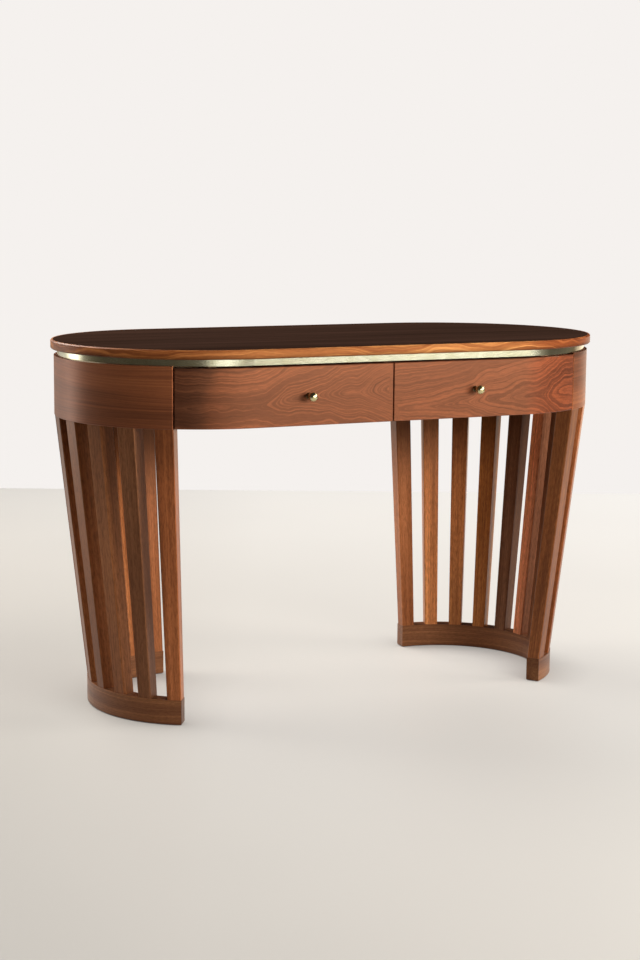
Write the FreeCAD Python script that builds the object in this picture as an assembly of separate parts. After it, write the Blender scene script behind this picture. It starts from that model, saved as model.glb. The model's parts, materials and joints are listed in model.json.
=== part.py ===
"""Racetrack writing desk: two bow-ended drawers carried on a pair of open slatted legs.

Every piece of the desk is one solid, or one group of equal small solids, and each is written to
parts/NODE.step in millimetres.  The worktop, the brass band under it and the aprons all follow
one racetrack outline: a rectangle with a half circle on each short side.  Each leg is a cage of
tapered bars that stand on a C-shaped plinth and lean outwards to meet the underside of the apron.

Frame: +X runs along the desk to the sitter's right, +Y to the back, +Z up.  The origin is on the
floor, under the middle of the whole desk with its knobs.  Everything is modelled round the middle
of the racetrack and for the right-hand half, and is mirrored and moved when it is written.
"""
import FreeCAD, Part

import math
import os
from FreeCAD import Placement, Rotation, Vector

# ---- worktop ----
desk_length = 1215.0
desk_depth = 605.0
desk_height = 762.0
top_thickness = 18.5
lipping_width = 5.0
arris_bevel = 2.0          # bevel on the top's outer edges

# ---- brass band in the recess under the top ----
band_height = 13.5
band_thickness = 1.6
band_setback = 13.5        # from the top's edge to the face of the brass

# ---- carcass: bent aprons, rear rail, bays ----
carcass_overhang = 6.5     # from the top's edge to the apron's face
carcass_height = 123.0
shell_thickness = 22.0
edge_ease = 1.0            # small bevel on the aprons and drawer fronts
apron_arris = 2.0          # bevel on an apron's upright edge beside the drawer
leg_rail_width = 24.0
leg_rail_height = 14.0
bottom_thickness = 10.0
divider_thickness = 18.0
partition_thickness = 18.0
stile_thickness = 12.0

# ---- drawers ----
drawer_gap = 2.0           # beside and behind every drawer front
drawer_top_gap = 3.5       # and over it
front_lift = 1.2           # the fronts hang this far above the slat tops
flat_extra = 6.0           # the straight stretch has a flat back and is this much thicker
box_margin = 3.0           # from the end of that flat back to the drawer box
side_thickness = 12.0
side_height = 77.0
side_lift = 6.0            # from the carcass bottom to the drawer sides
box_depth = 480.0
tail_count = 3             # dovetails at each back corner
tail_share = 0.74          # of its share of the side's height that a tail takes at its end
tail_slope = 1 / 6
key_length = 9.0           # sliding dovetail that holds a side in the front
key_width = 8.0
key_neck = 5.0
slide_space = 12.7         # between a drawer side and its bay wall
floor_thickness = 6.0
floor_lift = 8.0           # from the sides' lower edge to the drawer's bottom panel
groove_depth = 5.0

# ---- drawer slides ----
slide_length = 450.0
slide_metal = 1.5
cabinet_channel_height = 45.0
cabinet_channel_reach = 9.0
drawer_channel_height = 39.0
drawer_channel_reach = 8.0

# ---- knobs ----
knob_diameter = 19.0
knob_reach = 20.0          # from the drawer's face to the middle of the ball
knob_stem_diameter = 9.0
knob_rose_diameter = 16.0
knob_rose_thickness = 2.5
knob_bands = 8             # the ball is built up of this many rings of flats
knob_sides = 32            # with this many flats in a ring
knob_nose_diameter = 3.0   # the small flat on the front of the ball
screw_diameter = 4.4
screw_head_diameter = 9.0
screw_head_height = 2.6
screw_grip = 9.0           # length of thread inside the knob

# ---- legs ----
leg_front_angle = 58.6     # slat tops start here, counted forwards from the long axis
plinth_front_angle = 59.6  # and the plinths a little further forwards
leg_rear_angle = 90.0      # both end here, counted backwards
plinth_height = 51.0
plinth_radius = 234.0
plinth_width = 29.0
plinth_ease = 2.0
slat_count = 10
slat_foot_width = 29.5
slat_foot_depth = 28.0
slat_head_width = 38.5
slat_head_depth = 36.5
slat_reveal = 0.7          # the slats stand this far inside the faces above and below
slat_ease = 1.6
tenon_width = 10.0
tenon_depth = 12.0
foot_tenon_length = 20.0
head_tenon_length = 12.0

# ---- worked out from the values above ----
end_radius = desk_depth / 2
end_x = desk_length / 2 - end_radius
top_underside = desk_height - top_thickness
carcass_top = top_underside - band_height
carcass_low = carcass_top - carcass_height
band_radius = end_radius - band_setback
carcass_radius = end_radius - carcass_overhang
shell_inner_radius = carcass_radius - shell_thickness
bottom_low = carcass_low + leg_rail_height
bottom_top = bottom_low + bottom_thickness
drawer_edge_x = end_x + carcass_radius * math.cos(math.radians(leg_front_angle))
front_thickness = shell_thickness + flat_extra
front_back_y = -carcass_radius + front_thickness
flat_back_end_x = end_x + math.sqrt(shell_inner_radius ** 2 - front_back_y ** 2)
front_low = carcass_low + front_lift
front_high = carcass_top - drawer_top_gap
bay_inner_x = divider_thickness / 2
box_inner_x = bay_inner_x + slide_space
box_outer_x = flat_back_end_x - box_margin
bay_outer_x = box_outer_x + slide_space
bay_middle_x = (bay_inner_x + bay_outer_x) / 2
partition_outer_x = bay_outer_x + partition_thickness
side_low = bottom_top + side_lift
side_high = side_low + side_height
floor_low = side_low + floor_lift
box_back_y = front_back_y + box_depth
knob_z = (front_low + front_high) / 2
slide_z = (side_low + side_high) / 2
knob_tip_y = -carcass_radius - knob_reach - knob_diameter / 2
middle_y = -(knob_tip_y + end_radius) / 2      # moves the box's middle on to the origin


# ---- outlines and plain solids ----
def racetrack_wire(radius, z):
    """The racetrack outline of the given end radius, at the given height."""
    corners = [Vector(-end_x, -radius, z), Vector(end_x, -radius, z),
               Vector(end_x, radius, z), Vector(-end_x, radius, z)]
    right_tip = Vector(end_x + radius, 0, z)
    left_tip = Vector(-end_x - radius, 0, z)
    edges = [Part.LineSegment(corners[0], corners[1]).toShape(),
             Part.Arc(corners[1], right_tip, corners[2]).toShape(),
             Part.LineSegment(corners[2], corners[3]).toShape(),
             Part.Arc(corners[3], left_tip, corners[0]).toShape()]
    return Part.Wire(edges)


def racetrack(radius, low, high):
    return Part.Face(racetrack_wire(radius, low)).extrude(Vector(0, 0, high - low))


def racetrack_ring(outer_radius, inner_radius, low, high):
    return racetrack(outer_radius, low, high).cut(racetrack(inner_radius, low, high))


def box(x_range, y_range, z_range):
    size = [high - low for low, high in (x_range, y_range, z_range)]
    return Part.makeBox(*size, Vector(x_range[0], y_range[0], z_range[0]))


def prism(points, run):
    return Part.Face(Part.makePolygon(points + points[:1])).extrude(run)


def racetrack_distance(point):
    """How far out a point lies, as the radius of the racetrack through it."""
    return math.hypot(max(abs(point.x) - end_x, 0), point.y)


def edges_where(shape, wanted):
    """The edges whose two ends and middle all pass the test."""
    found = []
    for edge in shape.Edges:
        middle = edge.valueAt((edge.FirstParameter + edge.LastParameter) / 2)
        points = [vertex.Point for vertex in edge.Vertexes] + [middle]
        if all(wanted(point) for point in points):
            found.append(edge)
    return found


def near(value, target):
    return abs(value - target) < 0.01


# ---- worktop, spacer and brass band ----
def make_top_panel():
    return racetrack(end_radius - lipping_width, top_underside, desk_height)


def make_top_lipping():
    ring = racetrack_ring(end_radius, end_radius - lipping_width, top_underside, desk_height)
    rim = edges_where(ring, lambda point: near(racetrack_distance(point), end_radius)
                      and (near(point.z, top_underside) or near(point.z, desk_height)))
    return ring.makeChamfer(arris_bevel, rim)


def make_spacer_panel():
    return racetrack(band_radius - band_thickness, carcass_top, top_underside)


def make_brass_band():
    return racetrack_ring(band_radius, band_radius - band_thickness, carcass_top, top_underside)


# ---- carcass ----
def leg_side_of_drawer(low, high):
    """The space beyond the drawer's outer edge in front, and beyond the straight rail behind."""
    reach = desk_length
    front = box((drawer_edge_x, reach), (-reach, 1), (low, high))
    rear = box((end_x, reach), (0, reach), (low, high))
    return front.fuse(rear)


def make_end_shell():
    ring = racetrack_ring(carcass_radius, shell_inner_radius, carcass_low, carcass_top)
    shell = ring.common(leg_side_of_drawer(carcass_low, carcass_top))
    low_rim = edges_where(shell, lambda point: near(racetrack_distance(point), carcass_radius)
                          and near(point.z, carcass_low))
    shell = shell.makeChamfer(edge_ease, low_rim)
    upright = edges_where(shell, lambda point: near(racetrack_distance(point), carcass_radius)
                          and near(point.x, drawer_edge_x))
    shell = shell.makeChamfer(apron_arris, upright)
    return shell.cut([head_tenon(foot_angle, head_angle) for foot_angle, head_angle in slat_places])


def make_rear_rail():
    rail = box((-end_x, end_x), (shell_inner_radius, carcass_radius), (carcass_low, carcass_top))
    rim = edges_where(rail, lambda point: near(point.y, carcass_radius)
                      and near(point.z, carcass_low))
    return rail.makeChamfer(edge_ease, rim)


def make_leg_rail():
    ring = racetrack_ring(shell_inner_radius, shell_inner_radius - leg_rail_width,
                          carcass_low, bottom_low)
    return ring.common(leg_side_of_drawer(carcass_low, bottom_low))


def bowed_board(x_range, inner_radius, back_y, low, high):
    """A drawer front's blank: bowed outside, flat behind where it is straight."""
    ring = racetrack(carcass_radius, low, high).common(box(x_range, (-desk_depth, 0), (low, high)))
    hollow = racetrack(inner_radius, low, high).common(
        box((-desk_length, desk_length), (back_y, desk_depth), (low, high)))
    return ring.cut(hollow)


def make_carcass_bottom():
    """Panel on the leg rails, cut back in front to leave the drawer fronts clear."""
    panel = racetrack(shell_inner_radius, bottom_low, bottom_top)
    swept = bowed_board((-1, drawer_edge_x), shell_inner_radius - drawer_gap,
                        front_back_y + drawer_gap, bottom_low, bottom_top)
    return panel.cut(swept).cut(mirrored(swept))


def make_centre_divider():
    return box((-divider_thickness / 2, divider_thickness / 2),
               (front_back_y + drawer_gap, shell_inner_radius), (bottom_top, carcass_top))


def partition_front_y():
    """Where a bay partition stops, just behind the bow of the drawer front."""
    run_out = max(partition_outer_x - end_x, 0)
    return -math.sqrt(shell_inner_radius ** 2 - run_out ** 2) + drawer_gap


def make_bay_partition():
    board = box((bay_outer_x, partition_outer_x), (partition_front_y(), desk_depth),
                (bottom_top, carcass_top))
    return board.common(racetrack(shell_inner_radius, bottom_top, carcass_top))


def make_end_stile():
    """Board behind the drawer's outer edge, from the partition to the bent apron."""
    bow_end_y = -math.sqrt(shell_inner_radius ** 2 - (drawer_edge_x - end_x) ** 2)
    face_y = bow_end_y + drawer_gap
    board = box((partition_outer_x, desk_length), (face_y, face_y + stile_thickness),
                (bottom_top, carcass_top))
    return board.common(racetrack(shell_inner_radius, bottom_top, carcass_top))


# ---- drawer box ----
def make_drawer_floor():
    """Bottom panel, let into the front, both sides and the back."""
    return box((box_inner_x + side_thickness - groove_depth,
                box_outer_x - side_thickness + groove_depth),
               (front_back_y - groove_depth, box_back_y - side_thickness + groove_depth),
               (floor_low, floor_low + floor_thickness))


def dovetail_key(low_x, low):
    """Upright sliding dovetail on a side's front end, wider inside the drawer front."""
    middle_x = low_x + side_thickness / 2
    tip_y = front_back_y - key_length
    return prism([Vector(middle_x - key_neck / 2, front_back_y, low),
                  Vector(middle_x - key_width / 2, tip_y, low),
                  Vector(middle_x + key_width / 2, tip_y, low),
                  Vector(middle_x + key_neck / 2, front_back_y, low)],
                 Vector(0, 0, side_high - low))


def dovetail_tails(low_x):
    """The tails on a side's back end, each wider towards the back of the drawer."""
    pitch = side_height / tail_count
    tip_half = pitch * tail_share / 2
    root_half = tip_half - side_thickness * tail_slope
    root_y = box_back_y - side_thickness
    tails = []
    for index in range(tail_count):
        middle_z = side_low + pitch * (index + 0.5)
        tails.append(prism([Vector(low_x, root_y, middle_z - root_half),
                            Vector(low_x, box_back_y, middle_z - tip_half),
                            Vector(low_x, box_back_y, middle_z + tip_half),
                            Vector(low_x, root_y, middle_z + root_half)],
                           Vector(side_thickness, 0, 0)))
    return tails


def make_drawer_side(low_x):
    board = box((low_x, low_x + side_thickness), (front_back_y, box_back_y - side_thickness),
                (side_low, side_high))
    board = board.fuse([dovetail_key(low_x, side_low)] + dovetail_tails(low_x))
    return board.removeSplitter().cut(make_drawer_floor())


def make_drawer_back():
    board = box((box_inner_x, box_outer_x), (box_back_y - side_thickness, box_back_y),
                (side_low, side_high))
    tails = dovetail_tails(box_inner_x) + dovetail_tails(box_outer_x - side_thickness)
    return board.cut(tails + [make_drawer_floor()])


def make_drawer_front():
    """Bowed front, with slots open below for the dovetail keys of both sides."""
    board = bowed_board((drawer_gap / 2, drawer_edge_x - drawer_gap), shell_inner_radius,
                        front_back_y, front_low, front_high)
    rim = edges_where(board, lambda point: near(racetrack_distance(point), carcass_radius))
    board = board.makeChamfer(edge_ease, rim)
    screw_hole = Part.makeCylinder(screw_diameter / 2, carcass_radius,
                                   Vector(bay_middle_x, 0, knob_z), Vector(0, -1, 0))
    slots = [dovetail_key(low_x, front_low) for low_x in (box_inner_x, box_outer_x - side_thickness)]
    return board.cut(slots + [screw_hole, make_drawer_floor()])


# ---- knob and its screw ----
def knob_ring(radius, reach):
    """Corners of the knob's cross-section at one reach in front of the drawer's face."""
    turns = [2 * math.pi * index / knob_sides for index in range(knob_sides)]
    return [Vector(bay_middle_x + radius * math.cos(turn), -carcass_radius - reach,
                   knob_z + radius * math.sin(turn)) for turn in turns]


def polygon_face(corners):
    return Part.Face(Part.makePolygon(corners + corners[:1]))


def ball_rings():
    """The ball from its stem round to its nose."""
    radius = knob_diameter / 2
    start = math.asin(knob_stem_diameter / knob_diameter)
    step = (math.pi - start) / knob_bands
    turns = [start + step * index for index in range(knob_bands)]
    rings = [knob_ring(radius * math.sin(turn), knob_reach - radius * math.cos(turn))
             for turn in turns]
    return rings + [knob_ring(knob_nose_diameter / 2, knob_reach + radius)]


def make_knob():
    """Ball on a short stem with a flat rose against the drawer, tapped from behind."""
    rose_radius = knob_rose_diameter / 2
    neck = (knob_rose_diameter - knob_stem_diameter) / 4
    rings = [knob_ring(rose_radius, 0),
             knob_ring(rose_radius, knob_rose_thickness / 2),
             knob_ring(rose_radius - neck, knob_rose_thickness),
             knob_ring(knob_stem_diameter / 2, knob_rose_thickness + neck)] + ball_rings()
    faces = [polygon_face(rings[0]), polygon_face(rings[-1])]
    for behind, ahead in zip(rings, rings[1:]):
        faces += [polygon_face([behind[index - 1], behind[index], ahead[index], ahead[index - 1]])
                  for index in range(knob_sides)]
    tapping = Part.makeCylinder(screw_diameter / 2, screw_grip,
                                Vector(bay_middle_x, -carcass_radius, knob_z), Vector(0, -1, 0))
    return Part.Solid(Part.Shell(faces)).cut(tapping)


def make_knob_screw():
    """Flat-headed screw from inside the drawer into the knob."""
    head = Part.makeCylinder(screw_head_diameter / 2, screw_head_height,
                             Vector(bay_middle_x, front_back_y, knob_z), Vector(0, 1, 0))
    shank = Part.makeCylinder(screw_diameter / 2, front_thickness + screw_grip,
                              Vector(bay_middle_x, front_back_y, knob_z), Vector(0, -1, 0))
    return head.fuse(shank)


# ---- drawer slides ----
def channel(back_x, direction, height, reach):
    """Steel channel along the drawer: its web stands at back_x and its flanges reach sideways."""
    front_y = partition_front_y() + drawer_gap
    tip_x = back_x + direction * reach
    web_x = back_x + direction * slide_metal
    length = (front_y, front_y + slide_length)
    outer = box(tuple(sorted((back_x, tip_x))), length,
                (slide_z - height / 2, slide_z + height / 2))
    hollow = box(tuple(sorted((web_x, tip_x))), length,
                 (slide_z - height / 2 + slide_metal, slide_z + height / 2 - slide_metal))
    return outer.cut(hollow)


def make_cabinet_slides():
    return [channel(bay_inner_x, 1, cabinet_channel_height, cabinet_channel_reach),
            channel(bay_outer_x, -1, cabinet_channel_height, cabinet_channel_reach)]


def make_drawer_slides():
    return [channel(box_inner_x, -1, drawer_channel_height, drawer_channel_reach),
            channel(box_outer_x, 1, drawer_channel_height, drawer_channel_reach)]


# ---- legs, modelled round the middle of a round end ----
def end_inset(width, radius):
    """Angle from a leg's end to the middle of its last slat, where the slat is that wide."""
    return math.degrees(math.asin((width / 2 + slat_reveal) / radius))


def spread(front_angle, inset):
    """Evenly spaced slat angles from the front end of a leg to its rear end."""
    first = -front_angle + inset
    step = (leg_rear_angle - inset - first) / (slat_count - 1)
    return [first + step * index for index in range(slat_count)]


foot_inset = end_inset(slat_foot_width, plinth_radius)
head_inset = end_inset(slat_head_width, carcass_radius)
slat_places = list(zip(spread(plinth_front_angle, foot_inset), spread(leg_front_angle, head_inset)))


def flat_face_radius(radius, width):
    """Radius of a flat face of that width that stays inside a round face."""
    return math.sqrt(radius ** 2 - (width / 2) ** 2) - slat_reveal


def slat_section(middle, depth, width):
    """Bevelled rectangle across a slat, as eight corners; its depth lies along X."""
    section = []
    for side_x, side_y in ((1, -1), (1, 1), (-1, 1), (-1, -1)):
        corner = middle + Vector(side_x * depth / 2, side_y * width / 2, 0)
        along_x = corner - Vector(side_x * slat_ease, 0, 0)
        along_y = corner - Vector(0, side_y * slat_ease, 0)
        section += [along_x, along_y] if side_x != side_y else [along_y, along_x]
    return section


def tapered_bar(foot, head):
    """Solid with flat sides between two sections of as many corners each."""
    faces = [Part.Face(Part.makePolygon(ring + ring[:1])) for ring in (foot, head)]
    for index in range(len(foot)):
        after = (index + 1) % len(foot)
        side = [foot[index], foot[after], head[after], head[index]]
        faces.append(Part.Face(Part.makePolygon(side + side[:1])))
    return Part.Solid(Part.Shell(faces))


def around(radius, turn, z):
    """A point at that radius, turned that many degrees from the slat's foot."""
    return Vector(radius * math.cos(math.radians(turn)), radius * math.sin(math.radians(turn)), z)


def tenon(middle, length):
    """Square-cut tenon from a slat's end upwards, or downwards where the length is negative."""
    low = min(middle.z, middle.z + length)
    return box((middle.x - tenon_depth / 2, middle.x + tenon_depth / 2),
               (middle.y - tenon_width / 2, middle.y + tenon_width / 2), (low, low + abs(length)))


def stand(shape, foot_angle):
    """Turn a shape from the +X side to its place in the right-hand leg."""
    shape.rotate(Vector(0, 0, 0), Vector(0, 0, 1), foot_angle)
    shape.translate(Vector(end_x, 0, 0))
    return shape


def foot_tenon(foot_angle):
    middle = around(plinth_radius - plinth_width / 2, 0, plinth_height)
    return stand(tenon(middle, -foot_tenon_length), foot_angle)


def head_tenon(foot_angle, head_angle):
    middle = around(carcass_radius - shell_thickness / 2, head_angle - foot_angle, carcass_low)
    return stand(tenon(middle, head_tenon_length), foot_angle)


def make_slat(foot_angle, head_angle):
    """Tapered bar that leans outwards from the plinth to the apron, with a tenon at each end."""
    foot_radius = flat_face_radius(plinth_radius, slat_foot_width) - slat_foot_depth / 2
    head_radius = flat_face_radius(carcass_radius, slat_head_width) - slat_head_depth / 2
    foot = slat_section(around(foot_radius, 0, plinth_height), slat_foot_depth, slat_foot_width)
    head = slat_section(around(head_radius, head_angle - foot_angle, carcass_low),
                        slat_head_depth, slat_head_width)
    bar = stand(tapered_bar(foot, head), foot_angle)
    return bar.fuse([foot_tenon(foot_angle), head_tenon(foot_angle, head_angle)])


def make_plinth():
    """C-shaped foot rail, its ends cut square to the last slats and mortised for all of them."""
    ring = Part.makeCylinder(plinth_radius, plinth_height)
    ring = ring.cut(Part.makeCylinder(plinth_radius - plinth_width, plinth_height))
    ends = []
    for end_angle, side in ((-plinth_front_angle, 1), (leg_rear_angle, -1)):
        corner = around(plinth_radius, end_angle, 0)
        inwards = around(plinth_width, end_angle + side * foot_inset, 0)
        ends.append((corner + inwards, corner - inwards * 2))
    (front_outer, front_inner), (rear_outer, rear_inner) = ends
    reach = desk_depth
    gap = prism([front_outer, front_inner, rear_inner, rear_outer, Vector(rear_outer.x, reach, 0),
                 Vector(-reach, reach, 0), Vector(-reach, -reach, 0),
                 Vector(front_outer.x, -reach, 0)], Vector(0, 0, plinth_height))
    plinth = ring.cut(gap)
    rim = edges_where(plinth, lambda point: near(point.z, 0))
    plinth = plinth.makeChamfer(plinth_ease, rim)
    plinth.translate(Vector(end_x, 0, 0))
    return plinth.cut([foot_tenon(foot_angle) for foot_angle, head_angle in slat_places])


# ---- writing the pieces ----
def mirrored(shape):
    return shape.mirror(Vector(0, 0, 0), Vector(1, 0, 0))


def write(node, shape):
    placed = shape.copy()
    placed.translate(Vector(0, middle_y, 0))
    placed.exportStep("parts/%s.step" % node)


def write_pair(name, shape):
    """A right-hand piece and its mirror image, named like end_shell_right."""
    write(name + "_right", shape)
    write(name + "_left", mirrored(shape))


def write_drawer_pair(name, shape):
    """A piece of the right-hand drawer or bay and its mirror image, named like right_knob."""
    write("right_" + name, shape)
    write("left_" + name, mirrored(shape))


def main():
    os.makedirs("parts", exist_ok=True)
    write("top_panel", make_top_panel())
    write("top_lipping", make_top_lipping())
    write("spacer_panel", make_spacer_panel())
    write("brass_band", make_brass_band())
    write("rear_rail", make_rear_rail())
    write("carcass_bottom", make_carcass_bottom())
    write("centre_divider", make_centre_divider())
    write_pair("end_shell", make_end_shell())
    write_pair("bay_partition", make_bay_partition())
    write_pair("end_stile", make_end_stile())
    write_pair("leg_rail", make_leg_rail())
    write_pair("plinth", make_plinth())
    for number, (foot_angle, head_angle) in enumerate(slat_places, 1):
        slat = make_slat(foot_angle, head_angle)
        write("slat_right_%02d" % number, slat)
        write("slat_left_%02d" % number, mirrored(slat))
    write_drawer_pair("drawer_front", make_drawer_front())
    write_drawer_pair("drawer_inner_side", make_drawer_side(box_inner_x))
    write_drawer_pair("drawer_outer_side", make_drawer_side(box_outer_x - side_thickness))
    write_drawer_pair("drawer_back", make_drawer_back())
    write_drawer_pair("drawer_floor", make_drawer_floor())
    write_drawer_pair("knob", make_knob())
    write_drawer_pair("knob_screw", make_knob_screw())
    write_drawer_pair("cabinet_slides", Part.makeCompound(make_cabinet_slides()))
    write_drawer_pair("drawer_slides", Part.makeCompound(make_drawer_slides()))


main()
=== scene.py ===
"""Looks for the racetrack writing desk: walnut, brass, a pale studio floor and the camera."""

import json
import math

import bpy
from mathutils import Matrix, Vector


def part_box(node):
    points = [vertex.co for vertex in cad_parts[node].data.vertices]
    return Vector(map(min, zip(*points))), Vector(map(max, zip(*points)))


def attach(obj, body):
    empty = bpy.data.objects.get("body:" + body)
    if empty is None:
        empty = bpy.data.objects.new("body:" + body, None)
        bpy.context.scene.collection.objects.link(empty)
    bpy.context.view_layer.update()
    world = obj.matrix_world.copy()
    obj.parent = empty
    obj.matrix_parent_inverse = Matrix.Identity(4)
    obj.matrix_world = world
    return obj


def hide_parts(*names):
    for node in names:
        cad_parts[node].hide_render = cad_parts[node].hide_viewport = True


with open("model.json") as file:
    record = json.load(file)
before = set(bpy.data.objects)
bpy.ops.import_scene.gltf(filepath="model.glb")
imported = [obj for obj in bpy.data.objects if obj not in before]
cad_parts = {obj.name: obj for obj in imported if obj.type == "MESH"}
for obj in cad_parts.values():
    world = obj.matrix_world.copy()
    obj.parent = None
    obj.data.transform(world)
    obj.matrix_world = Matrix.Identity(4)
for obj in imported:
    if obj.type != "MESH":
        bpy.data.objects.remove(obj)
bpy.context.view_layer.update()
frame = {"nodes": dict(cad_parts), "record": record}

# ---- sizes read from the frame, in metres ----
top_low, top_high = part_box("top_lipping")
shell_low, shell_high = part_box("end_shell_right")
plinth_low, plinth_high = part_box("plinth_right")
front_low, front_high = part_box("left_drawer_front")
knob_low, knob_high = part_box("left_knob")
end_x = top_high.x - (top_high.y - top_low.y) / 2  # centre of the half-round end
middle_y = (top_high.y + top_low.y) / 2
shell_radius = shell_high.x - end_x
plinth_radius = plinth_high.x - end_x
slat_low_z = plinth_high.z
slat_high_z = shell_low.z
lean = (shell_radius - plinth_radius) / (slat_high_z - slat_low_z)
front_middle_z = (front_low.z + front_high.z) / 2
knob_width = knob_high.z - knob_low.z

# places along the outline, from the middle of the front: where a drawer front meets an end shell,
# and where a plinth stops
joint_along = end_x + math.asin((-front_low.x - end_x) / shell_radius) * shell_radius
plinth_along = end_x + math.acos((middle_y - plinth_low.y) / plinth_radius) * shell_radius

# ---- camera: in metres and radians; the frame is 640 x 960 ----
camera_place = (-1.80104, -3.62215, 1.06087)
camera_yaw = 0.45603
camera_pitch = 0.15025
camera_roll = -0.00872
focal_pixels = 1889.45
frame_height_pixels = 960
sensor = 36.0
clip_end = 60.0

# ---- studio; turns are in degrees from straight in front of the desk, to the right ----
backdrop = (245, 241, 238)
wall_light = 0.02                      # from the whole room above the ring
ring_top = (-0.02, 0.05)               # where the low ring of light fades out, as a rise
low_ring = (                           # (turn, brightness)
    (-180, 0.60), (-158, 0.75), (-150, 1.80), (-141, 3.90), (-135, 1.90), (-130, 0.30),
    (-120, 0.12), (-104, 0.06), (-48, 0.06), (-28, 0.10), (-16, 0.11), (-7, 0.76), (3, 1.1),
    (11, 0.44), (19, 0.22), (24, 0.30), (26, 0.42), (28, 0.60), (32, 0.76), (34, 0.86),
    (44, 0.78), (53, 0.27), (64, 0.09), (82, 0.13), (93, 0.20), (103, 0.16), (112, 0.70),
    (124, 1.2), (134, 1.7), (146, 1.3), (170, 0.4),
)
dim_tint = (1.0, 0.78, 0.55)           # of the ring where it is dim
paper_tint = (0.0, 0.17, 0.33)         # added where it is as bright as paper
paper_light = 0.5
warm_tint = (0.08, -0.08, -0.20)       # added where the light comes off something warm
warm_side = range(100, 171)
light_colour = (255, 250, 243)
light_aim = Vector((0.0, 0.0, 0.5))
lights = (                             # name, turn, rise, distance, size, power
    ("key", 62.0, 28.0, 3.2, (1.2, 1.2), 62.0),
    ("front_right", 30.0, 10.0, 3.0, (1.6, 0.7), 20.0),
    ("front_left", -5.0, 10.0, 3.0, (1.6, 0.7), 12.0),
    ("front_high", 14.0, 16.0, 3.0, (1.6, 0.5), 49.0),
    ("window", -150.0, 40.0, 3.2, (3.0, 2.0), 148.0),
    ("window_side", -120.0, 30.0, 3.2, (2.0, 2.0), 24.0),
)

# ---- floor; depth is measured away from the camera and aside to the right, from the desk ----
floor_reach = 2.70                     # from the middle of the desk to each edge
floor_drop = 0.0005                    # below the plinths
floor_tones = ((0.0, (205, 200, 192)), (0.5, (214, 209, 201)), (0.75, (228, 223, 216)),
               (1.0, (240, 236, 230)))
floor_depths = (-2.4, 2.6)             # where the first and the last of the tones are
floor_share = 0.46                     # of the floor's tone that shows light and shadow
floor_glow = (0.276, 0.55)             # the rest, given off evenly: near and far
glow_depths = (-1.6, 2.6)              # where it is the near one and the far one
floor_right = (-1.2, 1.2, 0.145)       # painted light to the right, painted shade to the left: from, to, how much
floor_left = (-0.6, -0.2, -0.055)      # more painted shade, left of the desk: the same
floor_behind = (1.0, 0.6, -0.03)       # painted shadow, just behind the desk: depth, half length, how much
floor_end = (2.1, 2.6, 0.02)           # more, at the far edge: from, to, how much
floor_pools = (                        # pools of painted light and painted shadow: aside, half width, depth, half length, more or less glow
    (0.0, 0.4, -0.5, 0.8, 0.095), (0.30, 0.22, -0.35, 0.45, -0.05),
    (0.62, 0.2, -0.3, 0.4, 0.035), (-0.22, 0.12, -0.31, 0.3, 0.05),
)
glow_colour = (1.0, 0.975, 0.94, 1.0)
contact_reach = 0.10                   # of the painted contact shade where the plinths meet the floor
contact_strength = 0.6

# ---- walnut ----
# layers of its figure: changes per metre along and across the grain, then detail and roughness
ribbon_layer = (1.4, 9.0, 3.0, 0.5)
fibre_layer = (22.0, 1100.0, 3.0, 0.7)
pore_layer = (70.0, 1500.0, 2.0, 0.5)
fleck_layer = (75.0, 380.0, 2.0, 0.6)
growth_along = 1.6                     # changes of the growth lines along the grain, per metre
band_along = 0.9                       # and of the broad bands
band_lines = 5                         # growth lines across a band
fibre_share = 0.16                     # of the fibres in the tone
tone_reach = 0.20                      # of the tone, from its mean to the darkest and the lightest
pull_size = 0.08                       # how far the arches stray along the grain, in metres
pull_scale = 10.0                      # and how often, per metre
push_size = 0.014                      # how far they stray across it
push_scale = 22.0                      # and how often
arch_tip = 0.00002                     # how blunt the arches are, in square metres
vein_level = 0.47                      # of the growth noise along the thinnest growth lines
vein_range = (0.004, 0.05)             # how far off that level a vein is darkest and gone
pore_range = (0.28, 0.42)              # of the pores' noise, inside a pore and outside
pore_dark = 0.7                        # share of the colour left in the pores
fleck_range = (0.34, 0.58)             # of the flecks' noise, inside a fleck and outside
fleck_lift = 0.45                      # of the wood between the flecks, against the flecks' dark
usual_noise = (0.3, 0.7)               # where most values of any noise lie
fibre_roughness = (0.04, -0.03)        # more between the fibres and less on them
grain_relief = 0.00005                 # in metres
unchanged = (1.0, 1.0, 1.0, 1.0)
warm = (255, 176, 132)                 # of the gloss on most of the wood


# ---- small helpers for shader nodes ----
def linear(colour, tint=(1.0, 1.0, 1.0)):
    """A screen colour, 0 to 255, as light, times a tint."""
    channels = [channel / 255 for channel in colour]
    light = [c / 12.92 if c <= 0.04045 else ((c + 0.055) / 1.055) ** 2.4 for c in channels]
    return (*[min(1.0, part * share) for part, share in zip(light, tint)], 1.0)


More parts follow.
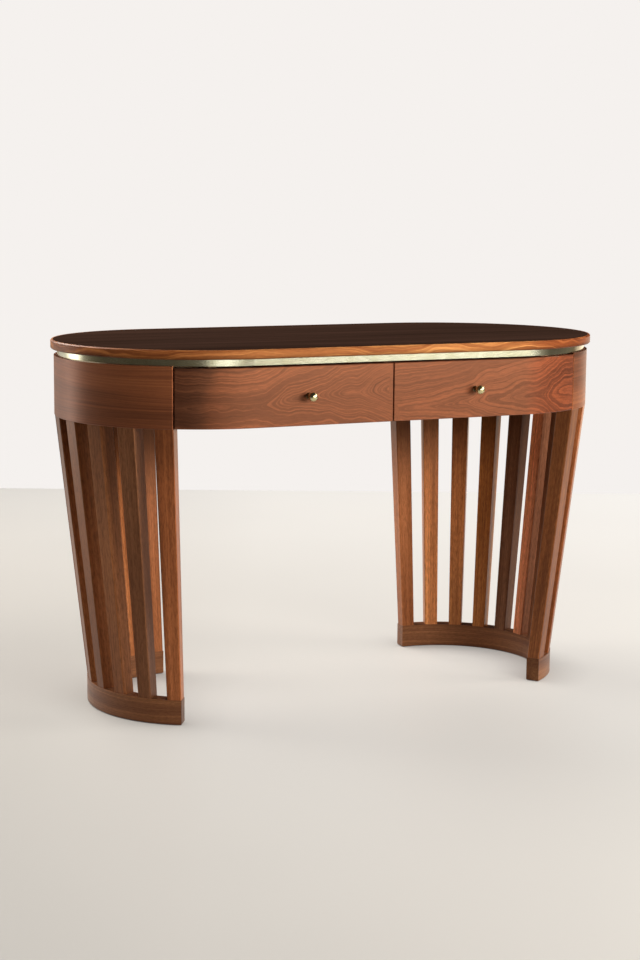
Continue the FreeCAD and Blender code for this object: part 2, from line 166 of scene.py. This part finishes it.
class Nodes:
    """A node tree, with one short method per kind of node. A value is a number, a tuple or the
    output of another node."""

    def __init__(self, tree):
        self.tree = tree
        tree.nodes.clear()

    def new(self, kind):
        return self.tree.nodes.new("ShaderNode" + kind)

    def link(self, source, target):
        self.tree.links.new(source, target)

    def put(self, socket, value):
        if isinstance(value, bpy.types.NodeSocket):
            self.link(value, socket)
        else:
            socket.default_value = value

    def fill(self, node, values):
        """Puts values into a node's first inputs and gives its first output."""
        for socket, value in zip(node.inputs, values):
            self.put(socket, value)
        return node.outputs[0]

    def math(self, kind, *values):
        node = self.new("Math")
        node.operation = kind
        return self.fill(node, values)

    def plus(self, first, second):
        return self.math("ADD", first, second)

    def minus(self, first, second):
        return self.math("SUBTRACT", first, second)

    def times(self, first, second):
        return self.math("MULTIPLY", first, second)

    def total(self, *parts):
        """Sum of (value, weight) pairs."""
        result = 0.0
        for value, weight in parts:
            result = self.math("MULTIPLY_ADD", value, weight, result)
        return result

    def length(self, first, second):
        squares = self.plus(self.times(first, first), self.times(second, second))
        return self.math("SQRT", squares)

    def hill(self, value, middle, width):
        """One at middle, falling away smoothly on both sides."""
        away = self.math("DIVIDE", self.minus(value, middle), width)
        return self.math("EXPONENT", self.times(self.times(away, away), -1.0))

    def spread(self, value, low, high, to_low=0.0, to_high=1.0):
        """A value from low to high, made to run from to_low to to_high."""
        return self.fill(self.new("MapRange"), (value, low, high, to_low, to_high))

    def smooth(self, value, low, high, to_low=0.0, to_high=1.0):
        """The same with soft ends."""
        result = self.spread(value, low, high, to_low, to_high)
        result.node.interpolation_type = "SMOOTHSTEP"
        return result

    def vector(self, x, y, z):
        return self.fill(self.new("CombineXYZ"), (x, y, z))

    def apart(self, vector):
        """The x, y and z of a vector."""
        node = self.new("SeparateXYZ")
        self.link(vector, node.inputs[0])
        return tuple(node.outputs)

    def noise(self, vector, scale, detail=2.0, roughness=0.5):
        node = self.new("TexNoise")
        for name, value in (("Vector", vector), ("Scale", scale), ("Detail", detail),
                            ("Roughness", roughness)):
            self.put(node.inputs[name], value)
        return node.outputs["Fac"]

    def ramp(self, value, stops):
        """Colours along a value from 0 to 1; stops are (position, colour as light)."""
        node = self.new("ValToRGB")
        self.put(node.inputs[0], value)
        elements = node.color_ramp.elements
        while len(elements) < len(stops):
            elements.new(0.5)
        for element, (position, colour) in zip(elements, stops):
            element.position = position
            element.color = colour
        return node.outputs[0]

    def mix(self, share, first, second, kind="MIX"):
        node = self.new("Mix")
        node.data_type = "RGBA"
        node.blend_type = kind
        for name, value in (("Factor", share), ("A", first), ("B", second)):
            self.put(node.inputs[name], value)
        return node.outputs["Result"]

    def tinted(self, colour, tint):
        return self.mix(1.0, colour, tint, "MULTIPLY")


class Shader(Nodes):
    """The nodes of a new material, with its principled shader in place."""

    def __init__(self, name):
        self.material = bpy.data.materials.new(name)
        self.material.use_nodes = True
        super().__init__(self.material.node_tree)
        self.principled = self.new("BsdfPrincipled")
        self.link(self.principled.outputs[0], self.new("OutputMaterial").inputs[0])

    def place(self):
        """The surface point in the desk's own frame, as x, y and z."""
        return self.apart(self.new("TexCoord").outputs["Object"])

    def bump(self, height, distance, strength=1.0):
        node = self.new("Bump")
        for name, value in (("Height", height), ("Distance", distance), ("Strength", strength)):
            self.put(node.inputs[name], value)
        self.link(node.outputs[0], self.principled.inputs["Normal"])

    def set(self, **values):
        """Sets inputs of the principled shader; their names have _ for each space."""
        for name, value in values.items():
            self.put(self.principled.inputs[name.replace("_", " ")], value)


# ---- ways of running the grain; each gives (along, across, depth) in metres ----
def along_desk(shader):
    """Boards whose grain runs along the desk."""
    return shader.place()


def across_desk(shader):
    """Boards whose grain runs from front to back."""
    x, y, z = shader.place()
    return y, z, x


def from_end_centre(shader):
    """x and z, then how far beyond and behind the centre of the nearer round end the point lies."""
    x, y, z = shader.place()
    return x, z, shader.minus(shader.math("ABSOLUTE", x), end_x), shader.minus(y, middle_y)


def round_desk(shader):
    """Veneer and lipping whose grain runs round the racetrack outline."""
    x, z, beyond, behind = from_end_centre(shader)
    beyond = shader.math("MAXIMUM", beyond, 0.0)
    turn = shader.math("ARCTAN2", beyond, shader.times(behind, -1.0))
    straight = shader.math("MINIMUM", shader.math("ABSOLUTE", x), end_x)
    half = shader.plus(straight, shader.times(turn, shell_radius))
    return shader.times(half, shader.math("SIGN", x)), z, shader.length(beyond, behind)


def up_slat(shader):
    """Leaning slats: the grain runs up each one, and its cross-section follows the lean."""
    x, z, beyond, behind = from_end_centre(shader)
    leant = shader.times(shader.minus(z, slat_low_z), lean)
    side = shader.times(shader.math("ARCTAN2", behind, beyond), shell_radius)
    other_leg = shader.times(shader.math("SIGN", x), 3.0)  # keeps the two legs' figures apart
    return z, shader.plus(side, other_leg), shader.minus(shader.length(beyond, behind), leant)


# ---- walnut ----
def arched(shader, along, across, seed, arches, wander, figure):
    """Growth lines as nested arches that point left, one set after another along an axis. arches is
    (height of the axis at the left, ((along, half length, spread of the lines, rise of the axis),
    ...)) in metres; a spread below zero closes the lines again."""
    axis, steps = arches
    pull = shader.noise(shader.vector(along, across, seed), pull_scale)
    push = shader.noise(shader.vector(across, along, seed + 5.0), push_scale)
    drawn = shader.total((along, 1.0), (pull, pull_size), (-pull_size / 2, 1.0))
    passed = [shader.smooth(drawn, middle - half, middle + half) for middle, half, _, _ in steps]
    climb = shader.total(*[(share, step[2]) for share, step in zip(passed, steps)])
    rise = shader.total(*[(share, step[3]) for share, step in zip(passed, steps)])
    off_axis = shader.total((across, 1.0), (push, push_size), (rise, -1.0),
                            (-axis - push_size / 2, 1.0))
    folded = shader.math("SQRT", shader.plus(shader.times(off_axis, off_axis), arch_tip))
    return shader.total((folded, 1.0), (climb, -1.0), (wander, figure), (seed, 1.0))


def walnut(name, run, tones, figure=0.1, swirl=(2.4, 9.0), lines=140.0, patch=0.5, rough=0.36,
           gloss=0.5, glow=None, seed=0.0, arches=None, veins=0.0, sharp=0.55, thin=(0.34, 0.66),
           fleck=0.0, shades=(), tint=(1.0, 1.0, 1.0)):
    """Walnut with contour-like growth lines, broad ribbons of colour and fine open pores.
    run gives the way of the grain, and tones are four screen colours from the darkest streak to
    the lightest ribbon, whose light is multiplied by tint; thin places the two middle ones, low
    for narrow dark lines.
    figure is how far the growth lines wander across the grain, in metres, swirl how often they do
    along and across it, and lines how many there are in a metre; arches shapes them by arched().
    patch is the weight of the ribbons. sharp is how much the growth lines tell over the broad
    bands, veins how dark the thinnest of them are and fleck how dark the flecks of the open pores.
    gloss is the strength of the sheen and glow its screen colour. shades are functions that give a
    share or a tint of the colour from (shader, along, across)."""
    shader = Shader(name)
    along, across, depth = run(shader)
    offset = shader.plus(across, seed)

    def layer(along_scale, across_scale, detail, roughness, across_by=offset):
        """Noise stretched along the grain; its scales are changes per metre."""
        vector = shader.vector(shader.times(along, along_scale),
                               shader.times(across_by, across_scale),
                               shader.times(depth, across_scale))
        return shader.noise(vector, 1.0, detail, roughness)

    wander = layer(*swirl, detail=2.0, roughness=0.45)
    if arches:
        contour = arched(shader, along, across, seed, arches, wander, figure)
    else:
        contour = shader.plus(offset, shader.times(wander, figure))
    growth = layer(growth_along, lines, detail=5.0, roughness=0.66, across_by=contour)
    bands = layer(band_along, lines / band_lines, detail=2.0, roughness=0.5, across_by=contour)
    ribbons = layer(*ribbon_layer)
    fibres = layer(*fibre_layer)
    pores = layer(*pore_layer)
    tone = shader.plus(shader.times(growth, sharp), shader.times(bands, 1.0 - sharp))
    tone = shader.plus(tone, shader.times(ribbons, patch))
    tone = shader.plus(tone, shader.times(fibres, fibre_share))
    mean = (1.0 + patch + fibre_share) / 2
    tone = shader.spread(tone, mean - tone_reach, mean + tone_reach)
    colour = shader.ramp(tone, [(position, linear(screen_colour, tint))
                                for position, screen_colour in zip((0.0, *thin, 1.0), tones)])
    open_pores = shader.spread(pores, *pore_range, pore_dark, 1.0)
    colour = shader.tinted(colour, open_pores)
    if fleck:
        flecks = shader.spread(layer(*fleck_layer), *fleck_range,
                               1.0 - fleck, 1.0 + fleck_lift * fleck)
        colour = shader.tinted(colour, flecks)
    if veins:
        off_vein = shader.math("ABSOLUTE", shader.minus(growth, vein_level))
        colour = shader.tinted(colour, shader.spread(off_vein, *vein_range, 1.0 - veins, 1.0))
    for shade in shades:
        colour = shader.tinted(colour, shade(shader, along, across))
    duller, brighter = fibre_roughness
    shader.set(Base_Color=colour, Specular_IOR_Level=gloss,
               Roughness=shader.spread(fibres, *usual_noise, rough + duller, rough + brighter))
    if glow:
        shader.set(Specular_Tint=linear(glow))
    shader.bump(shader.plus(shader.times(fibres, 0.5), open_pores), grain_relief)
    return shader.material


# ---- shades: a share or a tint of the wood's colour, by place; several are painted light and shade ----
def painted_shade_end(shader, along, across):
    """Painted shade on the bowed end of the left drawer front, where it turns away from the light,
    with a soft slanted edge.
    """
    slant, stray, shade_tint = -0.35, 0.05, (0.55, 0.64, 0.74, 1.0)
    edge_start, edge_end = 0.079 - joint_along, 0.103 - joint_along
    slanted = shader.times(shader.minus(across, front_middle_z), slant)
    cloud = shader.times(shader.noise(shader.vector(along, across, 0.0), 14.0), stray)
    past = shader.plus(shader.plus(along, slanted), cloud)
    return shader.mix(shader.spread(past, edge_start, edge_end), shade_tint, unchanged)


def right_front_tone_and_light(shader, along, across):
    """The right drawer front: a little darker than the left one in tone, with painted warm light
    round its end, more orange there.
    """
    tint = unchanged
    for start, end, next_tint in ((-0.001, 0.001, (0.95, 0.94, 0.93, 1.0)),
                                  (0.10, 0.24, (0.88, 0.89, 0.91, 1.0)),
                                  (0.30, 0.35, (1.24, 1.03, 0.94, 1.0))):
        tint = shader.mix(shader.smooth(along, start, end), tint, next_tint)
    return tint


def painted_arris_highlight(shader, along, across):
    """Painted highlight on the upright arris of an end shell, where the light catches it, stronger
    on the left one.
    """
    paler, paler_on_left = 1.85, 0.35
    past = shader.minus(shader.math("ABSOLUTE", along), joint_along)
    share = shader.minus(paler, shader.times(shader.math("SIGN", along), paler_on_left))
    return shader.spread(past, 0.0040, 0.0056, share, 1.0)


def painted_shade_lower_arris(shader, along, across):
    """Painted shade on the lipping towards its lower arris, which faces down."""
    shaded_share = 0.45
    return shader.spread(across, top_low.z + 0.001, top_low.z + 0.009, shaded_share, 1.0)


def red_end(shader, along, across):
    """Redder, darker lipping round the right end."""
    redder = (0.76, 0.60, 0.60, 1.0)
    return shader.mix(shader.smooth(along, 0.27, 0.37), unchanged, redder)


def painted_light_by_face(shader, along, across):
    """Bar painted lighter on the face towards the knee space and darker on the others: painted light
    and shade by the way each face points.
    """
    pale, dark = 1.5, 0.42
    facing_right, _, _ = shader.apart(shader.new("NewGeometry").outputs["Normal"])
    return shader.spread(facing_right, -0.8, -0.4, pale, dark)


def end_grain(shader, along, across):
    """Darker end grain where a plinth stops at the front."""
    dark = 0.55
    past = shader.minus(shader.math("ABSOLUTE", along), plinth_along)
    return shader.spread(past, 0.0004, 0.0016, dark, 1.0)


def painted_shade_below_carcass(reach, darkest):
    """Painted shade on bars just below the carcass, where it keeps the light off them: by darkest
    over the first 20 mm, then less and less until reach, in metres."""
    def shade(shader, along, across):
        return shader.smooth(along, slat_high_z - reach, slat_high_z - 0.02, 1.0, darkest)
    return shade


def dark_foot(shader, along, across):
    """A bar that gets darker towards the plinth."""
    dark, pale = 0.6, 1.05
    return shader.smooth(along, slat_low_z, slat_low_z + 0.29, dark, pale)


# ---- metals ----
def brass(name, colour, dark, roughness, bright_before=None):
    """Brushed brass with a faint mottling of its lacquer; behind bright_before, a place along Y,
    it is painted dark: painted shade and dark reflections on a knob's rose and neck."""
    fade, painted_shade_share = 0.003, 0.30
    shader = Shader(name)
    x, y, z = shader.place()
    clouds = shader.noise(shader.vector(x, y, z), 35.0, detail=3.0)
    brushing = shader.noise(shader.vector(x, y, shader.times(z, 60.0)), 60.0, roughness=0.6)
    tone = shader.ramp(clouds, list(zip(usual_noise, (linear(dark), linear(colour)))))
    if bright_before is not None:
        painted_dark = shader.spread(y, bright_before, bright_before + fade, 1.0, painted_shade_share)
        tone = shader.tinted(tone, painted_dark)
    shader.set(Base_Color=tone, Metallic=1.0,
               Roughness=shader.spread(brushing, *usual_noise, roughness - 0.03, roughness + 0.04))
    shader.bump(brushing, distance=0.00002, strength=0.4)
    return shader.material


def steel(name):
    """Zinc-plated steel with the soft flakes of its plating."""
    darker, paler = (150, 154, 158), (196, 199, 202)
    shader = Shader(name)
    flakes = shader.noise(shader.vector(*shader.place()), 220.0, roughness=0.6)
    tone = shader.ramp(flakes, [(0.35, linear(darker)), (0.65, linear(paler))])
    shader.set(Base_Color=tone, Metallic=1.0,
               Roughness=shader.spread(flakes, *usual_noise, 0.28, 0.42))
    return shader.material


# ---- the desk's own woods and metals ----
drawer_arches = (front_middle_z - 0.014, (
    (-0.270, 0.048, 0.022, 0.006), (-0.190, 0.070, 0.010, 0.006), (-0.128, 0.024, 0.016, 0.004),
    (-0.035, 0.040, 0.034, 0.004), (0.004, 0.006, -0.082, -0.042), (0.120, 0.120, 0.020, 0.010),
    (0.200, 0.028, 0.018, 0.003), (0.290, 0.070, 0.018, 0.004), (0.380, 0.050, 0.044, 0.004),
))
walnuts = {
    "walnut_top": dict(
        run=along_desk, tones=((40, 27, 22), (50, 35, 28), (57, 40, 33), (67, 47, 39)),
        figure=0.06, patch=0.4, rough=0.38, gloss=0.0),
    "walnut_edge": dict(
        run=round_desk, tones=((90, 45, 24), (148, 86, 47), (183, 117, 65), (232, 168, 100)),
        figure=0.06, swirl=(7.0, 9.0), lines=150.0, gloss=0.2, glow=warm, veins=0.25, sharp=0.7,
        fleck=0.12, shades=(painted_shade_lower_arris, red_end)),
    "walnut_apron": dict(
        run=round_desk, tones=((70, 38, 25), (98, 56, 36), (120, 69, 44), (146, 88, 55)),
        figure=0.06, swirl=(1.4, 9.0), lines=240.0, gloss=1.0, glow=warm, seed=0.31, veins=0.12,
        sharp=0.6, thin=(0.28, 0.58), shades=(painted_arris_highlight,)),
    "walnut_drawer": dict(
        run=round_desk, tones=((47, 22, 15), (79, 42, 28), (108, 60, 39), (137, 77, 48)),
        figure=0.05, swirl=(2.2, 8.0), lines=260.0, patch=0.3, gloss=1.0, glow=warm, seed=0.77,
        arches=drawer_arches, veins=0.4, sharp=0.9, thin=(0.26, 0.5), fleck=0.2,
        shades=(painted_shade_end, right_front_tone_and_light)),
    "walnut_plinth": dict(
        run=round_desk, tones=((68, 40, 27), (99, 62, 41), (124, 81, 53), (162, 111, 73)),
        figure=0.02, lines=300.0, patch=0.3, gloss=0.7, glow=warm, seed=1.4, veins=0.1, fleck=0.2,
        shades=(end_grain,)),
    "carcass_wood": dict(
        run=along_desk, tones=((150, 116, 82), (186, 150, 112), (202, 168, 130), (216, 186, 150)),
        figure=0.05, rough=0.5, gloss=0.3),
    "drawer_wood": dict(
        run=across_desk, tones=((150, 116, 82), (190, 154, 114), (206, 172, 134), (220, 190, 154)),
        figure=0.05, rough=0.5, gloss=0.3),
}
knob_bright = 0.93                     # share of the ball, from its front, left bright; behind it the rest gets painted shade
by_slot = {name: walnut(name, **looks) for name, looks in walnuts.items()}
by_slot["brass"] = brass("band_brass", (230, 230, 204), (212, 210, 178), 0.16)
by_slot["steel"] = steel("zinc")
knob_brass = brass("knob_brass", (214, 206, 160), (192, 182, 134), 0.26,
                   bright_before=knob_low.y + knob_width * knob_bright)

# all bars have the same four tones; a wood's tint multiplies their red, green and blue light. The
# tints are partly each bar's own colour and partly painted light and shade, for the light each bar
# gets
slat_tones = ((92, 50, 28), (126, 72, 40), (150, 90, 52), (180, 114, 70))
slat_tints = {
    "plum": (0.50, 0.60, 0.79), "dusk": (0.57, 0.79, 1.21), "brown": (0.87, 0.94, 1.00),
    "red": (0.98, 0.96, 0.98), "rust": (1.12, 1.08, 1.12), "amber": (1.25, 1.28, 1.27),
    "olive": (1.64, 1.88, 1.66), "tan": (1.93, 2.12, 2.96), "golden": (2.08, 2.32, 2.37),
    "blond": (2.41, 2.71, 2.69),
}
# slats are numbered from the front of each leg round to its back
slat_order = {
    "left": ("rust", "plum", "brown", "brown", "brown", "amber", "golden", "amber", "amber", "red"),
    "right": ("brown", "red", "brown", "plum", "tan", "dusk", "olive", "golden", "blond", "red"),
}
slat_shades = {                        # by colour and whether the slat is in the rear half
    ("tan", False): (painted_light_by_face,),
    ("rust", False): (painted_shade_below_carcass(0.14, 0.60),),
    ("brown", False): (painted_shade_below_carcass(0.32, 0.62),),
    ("dusk", True): (painted_shade_below_carcass(0.14, 0.40),),
    ("olive", True): (painted_shade_below_carcass(0.22, 0.17),),
    ("red", True): (painted_shade_below_carcass(0.30, 0.05),),
    ("amber", True): (painted_shade_below_carcass(0.28, 0.14),),
    ("golden", True): (painted_shade_below_carcass(0.26, 0.15), dark_foot),
    ("blond", True): (painted_shade_below_carcass(0.26, 0.105),),
}
slat_looks = {"slat_%s_%02d" % (side, number): (colour, number > len(colours) / 2)
              for side, colours in slat_order.items() for number, colour in enumerate(colours, 1)}
slat_woods = {
    (colour, rear): walnut("slat_" + colour + ("_rear" if rear else ""), up_slat,
                           slat_tones, figure=0.01, lines=230.0, patch=0.6, gloss=0.7, glow=warm,
                           fleck=0.32, shades=slat_shades.get((colour, rear), ()),
                           tint=slat_tints[colour])
    for colour, rear in sorted(set(slat_looks.values()))
}

slots = {part["node"]: part["material_slot"] for part in frame["record"]["subparts"]}
for name, node in frame["nodes"].items():
    if slots[name] == "walnut_slat":
        material = slat_woods[slat_looks[name]]
    else:
        material = by_slot[slots[name]]
    node.data.materials.clear()
    node.data.materials.append(material)


# ---- round knobs in place of the flat-sided solids ----
# profiles of rose and neck: radius beyond the rose's or the stem's, and distance from the drawer
# front, in metres
knob_rose = ((-0.0003, 0.0), (0.0, 0.0003), (0.0, 0.0013), (-0.0004, 0.0018), (-0.0010, 0.0024))
knob_neck = ((0.0008, 0.0034), (0.0003, 0.0046), (0.0, 0.0060))
rose_share = 13 / 19                   # of the ball's width
stem_share = 9 / 19
ball_steps = 24
turned_steps = 48


def turned_piece(name, outline, middle):
    """Piece turned about a line along Y; outline is a list of (radius, y)."""
    vertices = []
    for radius, y in outline:
        for index in range(turned_steps):
            turn = 2 * math.pi * index / turned_steps
            vertices.append((middle.x + radius * math.cos(turn), y,
                             middle.z + radius * math.sin(turn)))
    faces = []
    for ring in range(len(outline) - 1):
        for index in range(turned_steps):
            after = (index + 1) % turned_steps
            faces.append((ring * turned_steps + index, (ring + 1) * turned_steps + index,
                          (ring + 1) * turned_steps + after, ring * turned_steps + after))
    mesh = bpy.data.meshes.new(name)
    mesh.from_pydata(vertices, [], faces)
    mesh.polygons.foreach_set("use_smooth", [True] * len(faces))
    piece = bpy.data.objects.new(name, mesh)
    bpy.context.scene.collection.objects.link(piece)
    return piece


def make_knob(side):
    """Rose, neck and ball, from the drawer front outwards."""
    node = side + "_knob"
    low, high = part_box(node)
    ball_radius = (high.z - low.z) / 2
    rose_radius = ball_radius * rose_share
    stem_radius = ball_radius * stem_share
    ball_y = low.y + ball_radius
    outline = [(0.0001, high.y)]
    for radius, profile in ((rose_radius, knob_rose), (stem_radius, knob_neck)):
        outline += [(radius + more, high.y - out) for more, out in profile]
    start = math.asin(stem_radius / ball_radius)
    for index in range(ball_steps + 1):
        turn = start + (math.pi - start) * index / ball_steps
        outline.append((max(0.00002, ball_radius * math.sin(turn)),
                        ball_y + ball_radius * math.cos(turn)))
    piece = turned_piece(side + "_round_knob", outline, (low + high) / 2)
    piece.data.materials.append(knob_brass)
    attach(piece, side + "_drawer")
    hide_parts(node)


# ---- camera, floor and light ----
def facing(yaw, pitch):
    """The direction of a look that is turned right by yaw and down by pitch."""
    return Vector((math.sin(yaw) * math.cos(pitch), math.cos(yaw) * math.cos(pitch),
                   -math.sin(pitch)))


def make_camera():
    data = bpy.data.cameras.new("camera")
    data.sensor_width = sensor
    data.lens = sensor * focal_pixels / frame_height_pixels
    data.clip_end = clip_end
    forward = facing(camera_yaw, camera_pitch)
    level = Vector((math.cos(camera_yaw), -math.sin(camera_yaw), 0.0))
    below = forward.cross(level)
    right = level * math.cos(camera_roll) + below * math.sin(camera_roll)
    down = below * math.cos(camera_roll) - level * math.sin(camera_roll)
    turn = Matrix((right, -down, -forward)).transposed().to_4x4()
    camera = bpy.data.objects.new("camera", data)
    camera.matrix_world = Matrix.Translation(camera_place) @ turn
    bpy.context.scene.collection.objects.link(camera)
    bpy.context.scene.camera = camera


def floor_material(ahead, beside):
    """Pale floor that shows light and shadow in part and gives off the rest of its tone, with
    painted pools of light and shadow and painted contact shade round the plinths.
    """
    shader = Shader("studio_floor")
    x, y, z = shader.place()
    depth = shader.plus(shader.times(x, ahead.x), shader.times(y, ahead.y))
    aside = shader.plus(shader.times(x, beside.x), shader.times(y, beside.y))
    clouds = shader.noise(shader.vector(x, y, z), 1.2)
    faint = shader.ramp(clouds, [(0.3, linear((250, 250, 250))), (0.7, linear((255, 255, 255)))])
    pale = shader.ramp(shader.spread(depth, *floor_depths),
                       [(position, linear(tone)) for position, tone in floor_tones])
    pale = shader.tinted(pale, faint)
    pools = [(shader.times(shader.hill(aside, sideways, half_width),
                           shader.hill(depth, away, half_length)), weight)
             for sideways, half_width, away, half_length, weight in floor_pools]
    glow = shader.total((shader.spread(depth, *glow_depths, *floor_glow), 1.0),
                        (shader.spread(aside, *floor_right[:2], -1.0, 1.0), floor_right[2]),
                        (shader.spread(aside, *floor_left[:2], 1.0, 0.0), floor_left[2]), *pools,
                        (shader.hill(depth, *floor_behind[:2]), floor_behind[2]),
                        (shader.spread(depth, *floor_end[:2]), floor_end[2]))
    contact = shader.new("AmbientOcclusion")
    contact.samples = 8
    contact.inputs["Distance"].default_value = contact_reach
    glow = shader.times(glow, shader.math("POWER", contact.outputs["AO"], contact_strength))
    unlit = shader.minus(1.0, shader.new("LightPath").outputs["Is Diffuse Ray"])
    shader.set(Base_Color=shader.tinted(pale, (floor_share, floor_share, floor_share, 1.0)),
               Roughness=0.5, Specular_IOR_Level=0.3, Emission_Color=glow_colour,
               Emission_Strength=shader.times(glow, unlit))
    return shader.material


def make_floor():
    """A square of floor under the desk, squared up to the camera so that its far edge is level."""
    ahead = facing(camera_yaw, 0.0)
    beside = Vector((ahead.y, -ahead.x, 0.0))
    middle = Vector((0.0, 0.0, -floor_drop))
    corners = [middle + ahead * forwards * floor_reach + beside * sideways * floor_reach
               for forwards, sideways in ((-1, -1), (-1, 1), (1, 1), (1, -1))]
    mesh = bpy.data.meshes.new("floor")
    mesh.from_pydata(corners, [], [(0, 1, 2, 3)])
    mesh.materials.append(floor_material(ahead, beside))
    floor = bpy.data.objects.new("floor", mesh)
    bpy.context.scene.collection.objects.link(floor)


def ring_stops():
    """The low ring of light as the stops of a ramp, from straight behind round the left."""
    stops = []
    for degrees, light in low_ring:
        paper = min(1.0, light / paper_light)
        warmth = 1.0 if degrees in warm_side else 0.0
        colour = [light * (dim + bright * paper + warmer * warmth)
                  for dim, bright, warmer in zip(dim_tint, paper_tint, warm_tint)]
        stops.append((0.5 + degrees / 360, (*colour, 1.0)))
    return stops


def make_world():
    """Pale backdrop for the eye. What lights the desk is a dim room with a ring of low light."""
    world = bpy.data.worlds.new("studio")
    world.use_nodes = True
    nodes = Nodes(world.node_tree)
    x, y, z = nodes.apart(nodes.new("TexCoord").outputs["Generated"])
    turn = nodes.math("ARCTAN2", x, nodes.times(y, -1.0))
    low_light = nodes.ramp(nodes.spread(turn, -math.pi, math.pi), ring_stops())
    lit = nodes.mix(nodes.spread(z, *ring_top), low_light,
                    (wall_light, wall_light, wall_light, 1.0))
    lighting = nodes.fill(nodes.new("Background"), (lit,))
    seen = nodes.fill(nodes.new("Background"), (linear(backdrop),))
    by_eye = nodes.new("LightPath").outputs["Is Camera Ray"]
    both = nodes.fill(nodes.new("MixShader"), (by_eye, lighting, seen))
    nodes.link(both, nodes.new("OutputWorld").inputs[0])
    bpy.context.scene.world = world


def make_light(name, turn, rise, distance, size, power):
    """Soft box aimed at the desk, turn degrees right of straight in front and rise degrees up."""
    turn, rise = math.radians(turn), math.radians(rise)
    back = Vector((math.sin(turn) * math.cos(rise), -math.cos(turn) * math.cos(rise),
                   math.sin(rise)))
    data = bpy.data.lights.new(name, "AREA")
    data.shape = "RECTANGLE"
    data.size, data.size_y = size
    data.energy = power
    data.color = linear(light_colour)[:3]
    light = bpy.data.objects.new(name, data)
    light.matrix_world = (Matrix.Translation(light_aim + back * distance)
                          @ back.to_track_quat("Z", "Y").to_matrix().to_4x4())
    light.visible_camera = False
    bpy.context.scene.collection.objects.link(light)


for side in ("left", "right"):
    make_knob(side)
make_camera()
make_floor()
make_world()
for light in lights:
    make_light(*light)
bpy.context.scene.view_settings.view_transform = "Standard"
